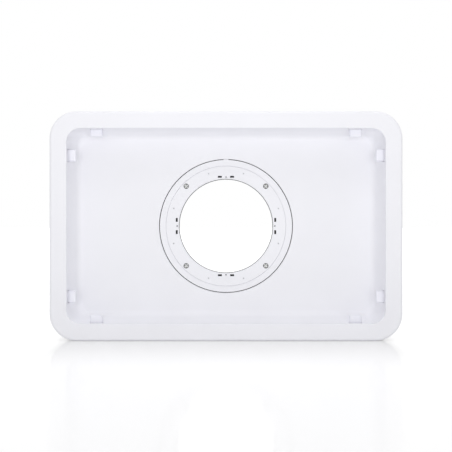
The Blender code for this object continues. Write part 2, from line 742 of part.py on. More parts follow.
def slot_outline(middle_angle):
    """An arc-shaped slot with round ends, for a screw into the ceiling."""
    half_width = CEILING_SLOT_WIDTH / 2
    start, end = middle_angle - CEILING_SLOT_HALF_ANGLE, middle_angle + CEILING_SLOT_HALF_ANGLE
    start_centre, end_centre = arc((0, 0), CEILING_SLOT_CIRCLE, start, end, 1)
    outer = arc((0, 0), CEILING_SLOT_CIRCLE + half_width, start, end, SLOT_STEPS)
    inner = arc((0, 0), CEILING_SLOT_CIRCLE - half_width, end, start, SLOT_STEPS)
    far = arc(end_centre, half_width, end, end + 180, SLOT_STEPS)[1:-1]
    near = arc(start_centre, half_width, start + 180, start + 360, SLOT_STEPS)[1:-1]
    return outer + far + inner + near


def clamp_plate():
    holes = [circle(CLAMP_BORE, LARGE_STEPS)]
    for angle in SCREW_ANGLES:
        centre = polar_place(angle, SCREW_CIRCLE, 0).to_translation()
        holes.append(circle(SCREW_RADIUS + SEAT_GAP, SMALL_STEPS, centre))
        holes.append(slot_outline(angle + 45))
    clamp = plate("clamp_plate", [circle(CLAMP_RADIUS, LARGE_STEPS)] + holes, CLAMP_THICKNESS)
    keep_part(clamp, swivel, zinc_steel, raised((CLAMP_FRONT + CLAMP_BACK) / 2))


def glide_washer():
    outer, inner = SEAT_RADIUS - SEAT_GAP, HUB_RADIUS + RUN_GAP
    outlines = [circle(outer, LARGE_STEPS), circle(inner, LARGE_STEPS)]
    washer = plate("glide_washer", outlines, WASHER_THICKNESS)
    keep_part(washer, swivel, black_acetal, raised((WASHER_FRONT + WASHER_BACK) / 2))


def ring_screws():
    radius, shank, top, edge, neck = head_profile(0)
    profile = [
        (0, top),
        (radius, top),
        (radius, edge),
        (shank, neck),
        (shank, NUT_BACK + SCREW_TIP_CHAMFER),
        (shank - SCREW_TIP_CHAMFER, NUT_BACK),
        (0, NUT_BACK),
    ]
    cuts = collection("ring_screw_cuts")
    socket_radius = SCREW_SOCKET_FLATS / math.sqrt(3)
    socket_end = top - SCREW_SOCKET_DEPTH
    socket = cylinder("screw_socket", socket_radius, socket_end, top + CUT_PAST, HEXAGON)
    keep_helper(socket, cuts, raised(0), None)
    pattern = turned("ring_screw", profile, SMALL_STEPS, closed=False)
    boolean(pattern, "DIFFERENCE", cuts)
    mesh = solid_mesh(pattern)
    nut_edge = circle(NUT_FLATS / math.sqrt(3), HEXAGON)
    nut_hole = circle(SCREW_RADIUS + SEAT_GAP, SMALL_STEPS)
    nut_level = (NUT_FRONT + NUT_BACK) / 2
    for number, angle in enumerate(SCREW_ANGLES, 1):
        screw = bpy.data.objects.new(f"ring_screw_{number}", mesh)
        keep_part(screw, swivel, zinc_steel, polar_place(angle, SCREW_CIRCLE, 0))
        nut = plate(f"ring_nut_{number}", [nut_edge, nut_hole], NUT_THICKNESS)
        keep_part(nut, swivel, zinc_steel, polar_place(angle, SCREW_CIRCLE, nut_level))


clear_scene()
parts = collection("access_point_housing")

white_shell = finish("white_shell_plastic", (0.86, 0.87, 0.91), 0.42)
white_acetal = finish("white_clip_acetal", (0.88, 0.88, 0.95), 0.35)
grey_acetal = finish("grey_acetal", (0.42, 0.42, 0.44), 0.45)
black_acetal = finish("black_acetal", (0.02, 0.02, 0.023), 0.45)
zinc_steel = finish("zinc_plated_steel", (0.52, 0.53, 0.53), 0.34, 1.0)
spring_steel = finish("blackened_spring_steel", (0.012, 0.012, 0.014), 0.5, 0.6)

housing = axis_empty("housing_stand", None, Matrix.Rotation(math.pi / 2, 4, "X"))
swivel = axis_empty("swivel_axis", housing, raised(0))

bezel_frame()
bezel_screws()
recess_pan()
cover_clips()
swivel_disc()
bayonet_ring()
detents()
clamp_plate()
glide_washer()
ring_screws()
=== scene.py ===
import json

import bmesh
import bpy
import numpy as np
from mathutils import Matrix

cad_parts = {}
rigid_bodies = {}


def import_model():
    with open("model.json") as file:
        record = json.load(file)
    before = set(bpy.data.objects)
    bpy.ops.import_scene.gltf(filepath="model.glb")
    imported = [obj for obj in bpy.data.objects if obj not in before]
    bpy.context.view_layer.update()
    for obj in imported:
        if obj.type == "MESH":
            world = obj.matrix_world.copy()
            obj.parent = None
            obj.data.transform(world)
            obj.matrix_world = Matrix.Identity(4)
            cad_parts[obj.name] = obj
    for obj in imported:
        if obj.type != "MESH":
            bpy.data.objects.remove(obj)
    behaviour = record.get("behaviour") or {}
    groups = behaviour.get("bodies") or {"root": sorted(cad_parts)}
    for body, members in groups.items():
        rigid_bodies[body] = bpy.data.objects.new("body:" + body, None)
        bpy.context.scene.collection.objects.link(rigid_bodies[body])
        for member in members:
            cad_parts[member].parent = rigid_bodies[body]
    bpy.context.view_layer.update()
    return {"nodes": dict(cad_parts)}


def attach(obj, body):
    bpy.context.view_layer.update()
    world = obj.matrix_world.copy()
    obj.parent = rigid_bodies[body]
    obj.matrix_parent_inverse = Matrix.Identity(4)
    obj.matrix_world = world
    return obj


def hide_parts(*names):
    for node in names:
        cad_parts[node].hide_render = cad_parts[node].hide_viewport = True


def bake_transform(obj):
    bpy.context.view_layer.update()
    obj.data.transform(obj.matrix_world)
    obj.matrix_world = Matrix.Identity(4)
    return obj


for startUp in list(bpy.data.objects):
    bpy.data.objects.remove(startUp)
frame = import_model()
scene = bpy.context.scene
scene.view_settings.view_transform = "Standard"
print("frame loaded:", len(frame["nodes"]), "nodes")

# Drawing space: x across, z up, h out of the ceiling plane to the viewer, all in millimetres
mm = 0.001
weld = 0.002  # points nearer than this are merged
sharpAngle = 32  # degrees: an edge that turns more is shaded as a sharp one


# Shells: each is a dictionary of points (x, z, h), quads and end caps

def gridQuads(rows, cols, closeRows=True):
    # quad (i, j) joins points j and j+1 of row i to those of row i+1. Every row is a closed loop
    i, j = np.meshgrid(np.arange(rows - (not closeRows)), np.arange(cols), indexing="ij")
    up, on = (i + 1) % rows, (j + 1) % cols
    return np.stack([i * cols + j, i * cols + on, up * cols + on, up * cols + j], -1)


def gridShell(points, closeRows=True, capped=False):
    # rows of points joined by quads. The last row joins the first, stays open or, like the first, gets a face
    rows, cols = points.shape[:2]
    quads = gridQuads(rows, cols, closeRows).reshape(-1, 4)
    ends = np.arange(rows * cols).reshape(rows, cols)[[0, -1]] if capped else np.zeros((0, cols), int)
    return {"points": points.reshape(-1, 3), "quads": quads, "caps": ends}


def roundCorners(corners, radii, steps=8, lead=0.12, closed=True):
    # at corner P between unit ways u and v, an arc of radius r about P + (u+v)/|u+v| * r/sin(half angle)
    p = np.array(corners, float)
    r = np.maximum(np.broadcast_to(np.array(radii, float), len(p)), 1e-4)
    u, v = np.roll(p, 1, 0) - p, np.roll(p, -1, 0) - p
    u, v = u / np.linalg.norm(u, axis=1)[:, None], v / np.linalg.norm(v, axis=1)[:, None]
    half = np.arccos(np.clip((u * v).sum(1), -1, 1)) / 2
    reach = (r / np.tan(half))[:, None]
    centre = p + (u + v) / np.linalg.norm(u + v, axis=1)[:, None] * (r / np.sin(half))[:, None]
    a, b = p + u * reach - centre, p + v * reach - centre
    start = np.arctan2(a[:, 1], a[:, 0])
    sweep = (np.arctan2(b[:, 1], b[:, 0]) - start + np.pi) % (2 * np.pi) - np.pi
    turn = start[:, None] + sweep[:, None] * np.linspace(0, 1, steps + 1)
    arcs = centre[:, None] + r[:, None, None] * np.stack([np.cos(turn), np.sin(turn)], -1)
    before, after = p + u * (reach + lead), p + v * (reach + lead)  # keeps flats flat when shaded smooth
    line = np.concatenate([before[:, None], arcs, after[:, None]], 1).reshape(-1, 2)
    return line if closed else line[1:-1]


def lathed(rows, t, centre=(0, 0), turn=0.0):
    # row (r, h), each a number or one value for each angle t: (cx + r cos(t + turn), cz + r sin(t + turn), h)
    r, h = [np.stack([0 * t + row[k] for row in rows]) for k in (0, 1)]
    return np.stack([centre[0] + r * np.cos(t + turn), centre[1] + r * np.sin(t + turn), h], -1)


def turned(profile, steps=192, capped=False, centre=(0, 0)):
    # the profile's points (r, h) carried round the centre in even steps
    points = lathed(profile, np.linspace(0, 2 * np.pi, steps, endpoint=False), centre)
    return gridShell(points, closeRows=not capped, capped=capped)


def bore(radius, levels, spot, steps=24):
    # a plain cylinder about the spot, from the lower to the upper level, that cuts a round hole
    low, high = levels
    return turned([(0, low), (radius, low), (radius, high), (0, high)], steps, capped=True, centre=spot)


def extruded(outline, width, edge=0.0, steps=4):
    # outline (u, v) along w: near each end it draws in by edge*(1-cos s) as w grows by edge*sin s
    outline = np.asarray(outline, float)
    way = np.roll(outline, -1, 0) - np.roll(outline, 1, 0)
    area = (outline[:, 0] * np.roll(outline[:, 1], -1) - outline[:, 1] * np.roll(outline[:, 0], -1)).sum()
    inward = np.stack([-way[:, 1], way[:, 0]], -1) * np.sign(area)
    inward /= np.maximum(np.linalg.norm(inward, axis=1), 1e-9)[:, None]
    s = np.linspace(0, np.pi / 2, steps + 1) if edge else np.zeros(1)
    pull, rise = edge * (1 - np.cos(s)), width / 2 - edge * (1 - np.sin(s))
    pull, w = np.concatenate([pull[::-1], pull]), np.concatenate([-rise[::-1], rise])
    uv = outline + inward * pull[:, None, None]
    points = np.concatenate([uv, np.broadcast_to(w[:, None, None], (*uv.shape[:2], 1))], -1)
    return gridShell(points, closeRows=False, capped=True)


def oriented(shell, origin, uWay, vWay, wWay):
    # point (u, v, w) goes to origin + u * uWay + v * vWay + w * wWay
    axes = np.array([uWay, vWay, wWay], float)
    return {**shell, "points": np.array(origin, float) + shell["points"] @ axes}


def prism(outline, levels):
    # outline (x, z) carried straight from the lower to the upper level
    low, high = levels
    return oriented(extruded(outline, high - low), (0, 0, (low + high) / 2), (1, 0, 0), (0, 1, 0), (0, 0, 1))


def polarOutline(corners, radii, middle, baseRadius, steps=5):
    # corner (s, t): s millimetres round the circle from the middle angle, t out from the base radius
    s, t = roundCorners(corners, radii, steps, lead=0.05).T
    angle, radius = middle + s / baseRadius, baseRadius + t
    return np.stack([radius * np.sin(angle), radius * np.cos(angle)], -1)


def arcBand(middle, halfAngle, inner, outer, roundEnds=False):
    # arcs of both radii, clockwise from the top: (r sin a, r cos a), joined by straight or half-round ends
    a = middle + np.radians(halfAngle) * np.linspace(-1, 1, 33)[:, None]
    up = np.concatenate([np.sin(a), np.cos(a)], -1)
    on = np.concatenate([np.cos(a), -np.sin(a)], -1)
    f = np.linspace(0, np.pi, 13)[1:-1, None] if roundEnds else np.zeros((0, 1))
    centre, half = (inner + outer) / 2, (outer - inner) / 2
    last, first = [up[k] * centre + s * half * (np.cos(f) * up[k] + np.sin(f) * on[k])
                   for k, s in ((-1, 1), (0, -1))]
    return np.concatenate([up * outer, last, up[::-1] * inner, first])


def shellMesh(name, shells, sharp=sharpAngle):
    starts = np.cumsum([0] + [len(shell["points"]) for shell in shells])
    points = np.concatenate([shell["points"] for shell in shells])
    faces = []
    for shell, start in zip(shells, starts):
        faces += (shell["quads"] + start).tolist() + (shell["caps"] + start).tolist()
    mesh = bpy.data.meshes.new(name)
    mesh.from_pydata((points[:, [0, 2, 1]] * (mm, -mm, mm)).tolist(), [], faces)  # drawing to world
    return tidyMesh(mesh, sharp)


def tidyMesh(mesh, sharp=sharpAngle):
    bm = bmesh.new()
    bm.from_mesh(mesh)
    bmesh.ops.remove_doubles(bm, verts=bm.verts, dist=weld * mm)
    bmesh.ops.recalc_face_normals(bm, faces=bm.faces)
    bm.to_mesh(mesh)
    bm.free()
    mesh.shade_smooth()
    mesh.set_sharp_from_angle(angle=np.radians(sharp))
    return mesh


def addPiece(name, shells, material, body=None, stands=(), sharp=sharpAngle):
    piece = bpy.data.objects.new(name, shellMesh(name, shells, sharp))
    scene.collection.objects.link(piece)
    piece.data.materials.append(material)
    if body:
        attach(piece, body)
    if stands:
        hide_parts(*stands)
    return piece


def cutAway(piece, shells):
    tool = bpy.data.objects.new("tool", shellMesh("tool", shells))
    scene.collection.objects.link(tool)
    cut = piece.modifiers.new("cut", "BOOLEAN")
    cut.object, cut.solver, cut.operation = tool, "EXACT", "DIFFERENCE"
    graph = bpy.context.evaluated_depsgraph_get()
    piece.data = tidyMesh(bpy.data.meshes.new_from_object(piece.evaluated_get(graph)))
    piece.modifiers.clear()
    bpy.data.objects.remove(tool)


# Materials

def hexColour(code):
    # sRGB to linear: s/12.92 near black, else ((s + 0.055)/1.055)^2.4
    s = np.array([int(code[k:k + 2], 16) for k in (1, 3, 5)]) / 255
    return (*np.where(s <= 0.04045, s / 12.92, ((s + 0.055) / 1.055) ** 2.4).tolist(), 1.0)


def addNode(tree, kind, inputs=None, **settings):
    node = tree.nodes.new(kind)
    for name, value in settings.items():
        setattr(node, name, value)
    for name, value in (inputs or {}).items():
        if isinstance(value, bpy.types.NodeSocket):
            tree.links.new(value, node.inputs[name])
        else:
            node.inputs[name].default_value = value
    return node


def newMaterial(name):
    material = bpy.data.materials.new(name)
    material.use_nodes = True
    tree = material.node_tree
    tree.nodes.clear()
    shader = addNode(tree, "ShaderNodeBsdfPrincipled")
    addNode(tree, "ShaderNodeOutputMaterial", {"Surface": shader.outputs["BSDF"]})
    place = addNode(tree, "ShaderNodeTexCoord").outputs["Object"]
    return material, tree, shader, place


noiseSpan = (0.3, 0.7)  # most of a noise texture's values lie in here


def mouldedPlastic(name, look):
    # moulded plastic: an even body colour with faint flow mottling, over a fine spark-eroded grain. The real
    # grain is near 0.1 mm, drawn coarser so that it shows
    grainDepth, glossSpread = 0.15, 0.05  # depth as a share of the grain's width, and the change in gloss
    material, tree, shader, place = newMaterial(name)
    flow = addNode(tree, "ShaderNodeTexNoise",
                   {"Vector": place, "Scale": 1 / (look["flowMm"] * mm), "Detail": 3.0, "Roughness": 0.5})
    tint = addNode(tree, "ShaderNodeValToRGB", {"Fac": flow.outputs["Fac"]})
    for stop, at, shade in zip(tint.color_ramp.elements, noiseSpan, ("low", "high")):
        stop.position, stop.color = at, hexColour(look[shade])
    grain = addNode(tree, "ShaderNodeTexNoise",
                    {"Vector": place, "Scale": 1 / (look["grainMm"] * mm), "Detail": 2.0, "Roughness": 0.6})
    gloss = addNode(tree, "ShaderNodeMapRange",
                    {"Value": grain.outputs["Fac"], "From Min": noiseSpan[0], "From Max": noiseSpan[1],
                     "To Min": look["rough"] - glossSpread, "To Max": look["rough"] + glossSpread})
    bump = addNode(tree, "ShaderNodeBump", {"Height": grain.outputs["Fac"], "Strength": look["bump"],
                                            "Distance": look["grainMm"] * mm * grainDepth})
    tree.links.new(tint.outputs["Color"], shader.inputs["Base Color"])
    tree.links.new(gloss.outputs["Result"], shader.inputs["Roughness"])
    tree.links.new(bump.outputs["Normal"], shader.inputs["Normal"])
    shader.inputs["IOR"].default_value = look["ior"]
    return material


def platedSteel(name, look):
    # plated steel: a grey metal with soft cloudy patches in its gloss and fine drawing lines, wider than the
    # real ones so that they show
    lineDepth, glossSpread = 0.1, 0.08  # depth as a share of a line's width, and the change in gloss
    lineStretch = 0.05  # draws the noise out along z into lines
    cloudSpan = (0.35, 0.65)  # noise values between the two tints
    material, tree, shader, place = newMaterial(name)
    cloud = addNode(tree, "ShaderNodeTexNoise",
                    {"Vector": place, "Scale": 1 / (look["cloudMm"] * mm), "Detail": 4.0, "Roughness": 0.6})
    tint = addNode(tree, "ShaderNodeValToRGB", {"Fac": cloud.outputs["Fac"]})
    for stop, at, shade in zip(tint.color_ramp.elements, cloudSpan, ("low", "high")):
        stop.position, stop.color = at, hexColour(look[shade])
    gloss = addNode(tree, "ShaderNodeMapRange",
                    {"Value": cloud.outputs["Fac"], "From Min": noiseSpan[0], "From Max": noiseSpan[1],
                     "To Min": look["rough"] - glossSpread, "To Max": look["rough"] + glossSpread})
    lines = addNode(tree, "ShaderNodeMapping", {"Vector": place, "Scale": (1.0, 1.0, lineStretch)})
    drawn = addNode(tree, "ShaderNodeTexNoise",
                    {"Vector": lines.outputs["Vector"], "Scale": 1 / (look["lineMm"] * mm), "Detail": 2.0})
    bump = addNode(tree, "ShaderNodeBump", {"Height": drawn.outputs["Fac"], "Strength": 0.12,
                                            "Distance": look["lineMm"] * mm * lineDepth})
    colour = tint.outputs["Color"]
    if "driveGlint" in look:  # painted highlight: where the piece's attribute marks the drive, a brighter colour
        glintShare = addNode(tree, "ShaderNodeAttribute", attribute_name="driveGlint")
        mix = addNode(tree, "ShaderNodeMix", {"Factor": glintShare.outputs["Fac"], "A": colour,
                                              "B": hexColour(look["driveGlint"])}, data_type="RGBA")
        colour = mix.outputs["Result"]
    tree.links.new(colour, shader.inputs["Base Color"])
    tree.links.new(gloss.outputs["Result"], shader.inputs["Roughness"])
    tree.links.new(bump.outputs["Normal"], shader.inputs["Normal"])
    shader.inputs["Metallic"].default_value = look["metal"]
    return material


# ABS shell: satin white, a little cool, with an even, soft sheen
shellPlastic = mouldedPlastic("whiteAbsSatin", {
    "low": "#F4F4F9", "high": "#F6F6FB", "flowMm": 45, "grainMm": 0.9, "bump": 0.10,
    "rough": 0.48, "ior": 1.54})
# acetal clips: smoother and slightly bluer than the shell, with a waxy gloss
clipPlastic = mouldedPlastic("whiteAcetal", {
    "low": "#F5F5FE", "high": "#F8F8FF", "flowMm": 12, "grainMm": 0.7, "bump": 0.05,
    "rough": 0.36, "ior": 1.48})
# grey acetal for the pips: satin mid grey, small darker points on the white ring
greyPlastic = mouldedPlastic("greyAcetal", {
    "low": "#A9AAAE", "high": "#B6B7BB", "flowMm": 6, "grainMm": 0.5, "bump": 0.05,
    "rough": 0.42, "ior": 1.48})
# pale grey acetal for the rivets: their ends are faint dots on the ring
palePlastic = mouldedPlastic("paleGreyAcetal", {
    "low": "#CBCCD0", "high": "#D4D5D9", "flowMm": 6, "grainMm": 0.5, "bump": 0.05,
    "rough": 0.45, "ior": 1.48})
# black acetal for the glide washer: its lip in the seam paints the seam's shadow, a dark line round the disc
seamShadeBlack = mouldedPlastic("blackAcetalSeamShade", {
    "low": "#101012", "high": "#17171A", "flowMm": 8, "grainMm": 0.5, "bump": 0.05,
    "rough": 0.4, "ior": 1.48})
# zinc plate on pressed steel: cloudy mid grey
zincSteel = platedSteel("zincPlatedSteel", {
    "low": "#B9BBBC", "high": "#CFD0D0", "cloudMm": 2.5, "lineMm": 0.25, "rough": 0.38, "metal": 1.0})
# unpolished zinc on the clamp plate, made darker as painted shade, so its bore draws a grey shade line round
# the hole
shadeLineSteel = platedSteel("zincPlateShadeLine", {
    "low": "#6A6C6E", "high": "#787A7C", "cloudMm": 7.0, "lineMm": 0.4, "rough": 0.5, "metal": 1.0})
# dark zinc on the ring screws, darker as painted shade round the head, with a painted highlight in the drive
screwShadeAndGlint = platedSteel("darkZincScrewShadeAndGlint", {
    "low": "#4E4F4E", "high": "#5E5F5E", "cloudMm": 1.0, "lineMm": 0.2, "rough": 0.42, "metal": 0.9,
    "driveGlint": "#D9DADA"})
# blackened spring steel: almost black with a dull sheen, also painted shade where the leaves show in the
# slots
slotShadeSpringSteel = platedSteel("blackenedSpringSteelSlotShade", {
    "low": "#0C0C0E", "high": "#151518", "cloudMm": 1.5, "lineMm": 0.3, "rough": 0.6, "metal": 0.3})
print("materials ready")


# Recess opening and rim, shared by the bezel and the pan: half sizes of the opening, the corner radii of the
# opening and of the outer edge, and the places of clips and screw bosses along the walls

opening = {"x": 158.8, "z": 97.3, "radius": 14.3, "rimWidth": 17.2, "outerRadius": 27.0, "cornerSteps": 16,
           "lineEnd": 5.0, "stepsX": 49, "stepsZ": 29, "clipX": 130.5, "clipZ": 71.2, "windowHalf": 6.5,
           "bossX": 50.0}
clipX, clipZ, bossX = (opening[name] for name in ("clipX", "clipZ", "bossX"))
# the way into the recess and the place along the wall, clockwise from the upper left
clipPlaces = [((0, -1), -clipX), ((0, -1), clipX), ((-1, 0), clipZ), ((-1, 0), -clipZ),
              ((0, 1), clipX), ((0, 1), -clipX), ((1, 0), -clipZ), ((1, 0), clipZ)]
bossPlaces = [((0, -1), -bossX), ((0, -1), bossX), ((-1, 0), 0.0),
              ((0, 1), bossX), ((0, 1), -bossX), ((1, 0), 0.0)]


def wallStops(reach, clipAt, steps):
    # even steps along a straight wall, with further stops at both edges of its two clip windows
    even = np.linspace(opening["lineEnd"] - reach, reach - opening["lineEnd"], steps)
    edges = np.array([-1, 1]) * opening["windowHalf"]
    return np.unique(np.concatenate([even, clipAt + edges, -clipAt - edges]))


def openingPath():
    # rounded rectangle, anticlockwise from the right side: points p and their moves m, so that p + offset * m
    # is the rectangle grown by the offset, with corners of radius r + offset * k. On a corner the move is
    # (1 - k) * corner way + k * normal
    a, b = opening["x"] - opening["radius"], opening["z"] - opening["radius"]
    k = (opening["outerRadius"] - opening["radius"]) / opening["rimWidth"]
    x, z = wallStops(a, clipX, opening["stepsX"]), wallStops(b, clipZ, opening["stepsZ"])
    turn = np.linspace(0, np.pi / 2, opening["cornerSteps"] + 1)
    sideWays, cornerWays = ((1, 0), (0, 1), (-1, 0), (0, -1)), ((1, 1), (-1, 1), (-1, -1), (1, -1))
    parts = []
    for quarter, ((nx, nz), (wx, wz)) in enumerate(zip(sideWays, cornerWays)):
        line = z * nx if nx else -x * nz
        flat = np.ones_like(line)
        parts.append(np.stack([nx * opening["x"] * flat if nx else line,
                               nz * opening["z"] * flat if nz else line, nx * flat, nz * flat]))
        c, s = np.cos(turn + quarter * np.pi / 2), np.sin(turn + quarter * np.pi / 2)
        parts.append(np.stack([wx * a + opening["radius"] * c, wz * b + opening["radius"] * s,
                               (1 - k) * wx + k * c, (1 - k) * wz + k * s]))
    return np.concatenate(parts, 1)


def swept(path, profile):
    # profile point (offset, h) at path point p with move m: (p + offset * m, h)
    px, pz, mx, mz = path
    offset, h = np.asarray(profile, float).T[:, :, None]
    return np.stack(np.broadcast_arrays(px + offset * mx, pz + offset * mz, h), -1)


def wallFrame(inward, along, behind, level):
    # a place behind a recess wall: u into the recess, v to the front, w along the wall
    i = np.array(inward, float)
    reach = opening["x"] if inward[0] else opening["z"]
    across = np.abs(i[::-1])
    origin = -i * (reach + behind) + across * along
    return (*origin, level), (*i, 0), (0, 0, 1), (*across, 0)


# In the dictionaries below, rounds are corner radii in the order of an outline's corners

# Bezel frame: flat rim, rounded outer edge, skirt to the ceiling and the screw bosses

bezel = {"front": 36.0, "rimBack": 33.5, "skirt": 2.5, "lip": 0.6, "edge": 3.0, "skirtEdge": 0.4,
         "corner": 1.0, "lipBack": 0.3, "bossBehind": 8.45, "bossRadius": 3.5, "bossEnd": 28.5, "pilot": 1.8,
         "bossSink": 0.4, "bossFlare": 0.6, "bossRounds": (0.1, 0.1, 0.5, 0.3, 0.3)}
path = openingPath()
skirtOut, skirtIn = opening["rimWidth"], opening["rimWidth"] - bezel["skirt"]
rimLine = roundCorners(
    [(0, bezel["front"]), (skirtOut, bezel["front"]), (skirtOut, 0), (skirtIn, 0),
     (skirtIn, bezel["rimBack"]), (0, bezel["rimBack"])],
    [bezel[name] for name in ("lip", "edge", "skirtEdge", "skirtEdge", "corner", "lipBack")], steps=10)
bossRoot, bossFoot = bezel["rimBack"] + bezel["bossSink"], bezel["rimBack"] - bezel["bossFlare"]
bossLine = roundCorners(
    [(bezel["pilot"], bossRoot), (bezel["bossRadius"] + bezel["bossFlare"], bossRoot),
     (bezel["bossRadius"], bossFoot), (bezel["bossRadius"], bezel["bossEnd"]),
     (bezel["pilot"], bezel["bossEnd"])], bezel["bossRounds"], steps=4, lead=0.05)
bossSpots = [wallFrame(inward, along, bezel["bossBehind"], 0)[0][:2] for inward, along in bossPlaces]
shells = [gridShell(swept(path, rimLine))] + [turned(bossLine, steps=48, centre=spot) for spot in bossSpots]
addPiece("bezelFrame", shells, shellPlastic, "housing", ["bezel_frame"])
print("bezel ready")

# Recess pan: leaning walls with clip windows, floor, collar and ledge round the opening. Behind it are
# cradles, ears and ribs, each sunk a little into the wall or floor that it stands on

pan = {"wall": 2.2, "setBack": 0.5, "draft": 5.5, "hollow": 1.0, "top": 33.2, "topEdge": 0.3, "floor": 10.0,
       "back": 7.5, "crease": 6.0, "backRadius": 3.0, "footRise": 4.0, "footIn": 6.0, "wallSteps": 15,
       "windowLow": 24.4, "windowHigh": 29.4, "seat": 69.5, "collar": 74.5, "ledge": 65.8, "ledgeFront": 7.2,
       "ledgeBack": 5.2, "seatMargin": 3.0, "seatRounds": (0, 0.5, 0.4, 0.2, 0.2, 0.2, 0.15, 0), "join": 0.5}


def wallInside(h):
    # from the set-back at the top, in by the draft at the floor. At depth u from 0 to 1 the share is
    # (1-k)*u + k*u^2, so the wall is steep behind the lip and leans more towards the floor
    u = (pan["top"] - h) / (pan["top"] - pan["floor"])
    share = (1 - pan["hollow"]) * u + pan["hollow"] * u ** 2
    return pan["setBack"] - (pan["setBack"] + pan["draft"]) * share


def wallPoint(h, out):
    # offset and level of the wall at level h, out from its inner face
    return wallInside(h) + out, h


foot, floorEdge = pan["floor"] + pan["footRise"], -pan["draft"] - pan["footIn"]
heights = np.linspace(foot, pan["windowLow"], pan["wallSteps"])[1:]
crease = roundCorners([(floorEdge, pan["floor"]), wallPoint(pan["floor"], 0), wallPoint(foot, 0)],
                      [0, pan["crease"], 0], steps=6, closed=False)
inside = np.concatenate([crease, np.stack(wallPoint(heights, 0), -1)])
wallTop = roundCorners(
    [wallPoint(pan["windowHigh"], 0), wallPoint(pan["top"], 0), wallPoint(pan["top"], pan["wall"]),
     wallPoint(pan["windowHigh"], pan["wall"])],
    [0, pan["topEdge"], pan["topEdge"], 0], steps=4, closed=False)
heel = roundCorners(
    [wallPoint(foot, pan["wall"]), wallPoint(pan["back"], pan["wall"]), (floorEdge, pan["back"])],
    [0, pan["backRadius"], 0], steps=8, closed=False)
outside = np.concatenate([np.stack(wallPoint(heights[::-1], pan["wall"]), -1), heel])
seatLine = roundCorners(
    [(pan["collar"] + pan["seatMargin"], pan["back"]), (pan["collar"], pan["back"]),
     (pan["collar"], pan["ledgeBack"]), (pan["ledge"], pan["ledgeBack"]), (pan["ledge"], pan["ledgeFront"]),
     (pan["seat"], pan["ledgeFront"]), (pan["seat"], pan["floor"]),
     (pan["seat"] + pan["seatMargin"], pan["floor"])], pan["seatRounds"], steps=5, closed=False)
walls = swept(path, np.concatenate([inside, wallTop, outside]))
circles = lathed(seatLine, np.arctan2(path[1], path[0]))  # each on the bearings of the wall's points
points = np.concatenate([walls, circles])
rows, cols = points.shape[:2]

# windows: quads of both faces of the wall are left out, and the gap is closed through the wall's thickness
inLow, inHigh = len(inside) - 1, len(inside)
outHigh, outLow = len(inside) + len(wallTop) - 1, len(inside) + len(wallTop)
onward = np.roll(path, -1, 1)
midX, midZ = np.abs(path[:2] + onward[:2]) / 2
onLevel, onUpright = [(path[k] == 0) & (onward[k] == 0) for k in (2, 3)]
window = (onLevel & (np.abs(midX - clipX) < opening["windowHalf"])) | (
    onUpright & (np.abs(midZ - clipZ) < opening["windowHalf"]))
keep = np.ones((rows, cols), bool)
keep[inLow, window] = False
keep[outHigh, window] = False
gap = np.flatnonzero(window)
past = (gap + 1) % cols
sides = np.concatenate([gap[~np.roll(window, 1)[gap]], past[~window[past]]])
reveals = [np.stack([i * cols + gap, i * cols + past, j * cols + past, j * cols + gap], -1)
           for i, j in ((inLow, outLow), (inHigh, outHigh))]
reveals.append(np.stack([row * cols + sides for row in (inLow, inHigh, outHigh, outLow)], -1))
shells = [{"points": points.reshape(-1, 3), "quads": np.concatenate([gridQuads(rows, cols)[keep], *reveals]),
           "caps": np.zeros((0, 4), int)}]

# cradles that hold the beads of the clips
cradle = {"behind": 5.0, "level": 10.0, "bore": 2.3, "wall": 1.2, "mouth": 1.2, "length": 14.0, "edge": 0.2,
          "rounds": (0.05, 0.05, 1.6, 0.2)}


def atCradle(shell, inward, along):
    # a shell set on the axis of a clip's bead, behind the wall
    return oriented(shell, *wallFrame(inward, along, cradle["behind"], cradle["level"]))


mouthTurn = np.arcsin(cradle["mouth"] / cradle["bore"])
boreTurn = np.linspace(np.pi - mouthTurn, 2 * np.pi + mouthTurn, 25)
low = -cradle["bore"] - cradle["wall"]
hug = cradle["behind"] - wallInside(cradle["level"]) - pan["wall"] + pan["join"]
block = roundCorners([(hug, cradle["mouth"]), (hug, low), (low, low), (low, cradle["mouth"])],
                     cradle["rounds"], steps=6)
cup = np.concatenate([cradle["bore"] * np.stack([np.cos(boreTurn), np.sin(boreTurn)], -1), block[1:-1]])
cupShell = extruded(cup, cradle["length"], cradle["edge"], steps=3)
shells += [atCradle(cupShell, inward, along) for inward, along in clipPlaces]

# ears that take the bezel screws. On the half towards the wall the edge at angle a is radius/|sin a| or
# reach/cos a away, whichever is less, and on the outer half it is the radius away
ear = {"front": 28.2, "back": 26.0, "radius": 5.35, "hole": 1.8}
earReach = bezel["bossBehind"] - wallInside(ear["back"]) - pan["wall"] + pan["join"]
earCorners = [np.arctan2(side * ear["radius"], earReach) for side in (-1, 1)]
earTurn = np.unique(np.concatenate([np.linspace(-np.pi, np.pi, 49)[:-1], earCorners]))
c, s = np.cos(earTurn), np.sin(earTurn)
with np.errstate(divide="ignore"):
    earEdge = np.where(c <= 1e-9, ear["radius"],
                       np.minimum(ear["radius"] / np.abs(s), earReach / np.maximum(c, 1e-9)))
earHole = np.full_like(earEdge, ear["hole"])
r = np.stack([earEdge, earEdge, earHole, earHole])
v = np.array([ear["back"], ear["front"], ear["front"], ear["back"]])[:, None]
earShell = gridShell(np.stack(np.broadcast_arrays(r * c, v, r * s), -1))
shells += [oriented(earShell, *wallFrame(inward, along, bezel["bossBehind"], 0))
           for inward, along in bossPlaces]

